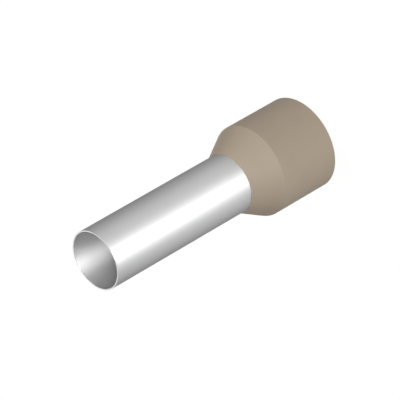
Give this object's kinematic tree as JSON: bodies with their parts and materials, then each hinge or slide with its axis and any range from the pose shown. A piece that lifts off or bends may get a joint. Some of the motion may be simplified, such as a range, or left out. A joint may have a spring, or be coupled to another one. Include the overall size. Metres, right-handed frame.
{
  "type": "wire ferrule",
  "caption": "Insulated wire-end ferrule: thin tinned copper crimp tube with a beige plastic collar that funnels a stranded conductor into it.",
  "frame": {"origin": "centre of the collar's entry face, which the ferrule stands on", "axes": "+Z along the ferrule's axis, from the collar's entry to the open mouth of the tube; the part is round, so +X and +Y are any two directions across it"},
  "size_m": [0.0136, 0.0134, 0.039],
  "materials": {
    "tinned_copper": "satin",
    "collar_plastic": "matte"
  },
  "bodies": {
    "root": {"crimp_sleeve": "tinned_copper", "insulating_collar": "collar_plastic"}
  },
  "joints": []
}
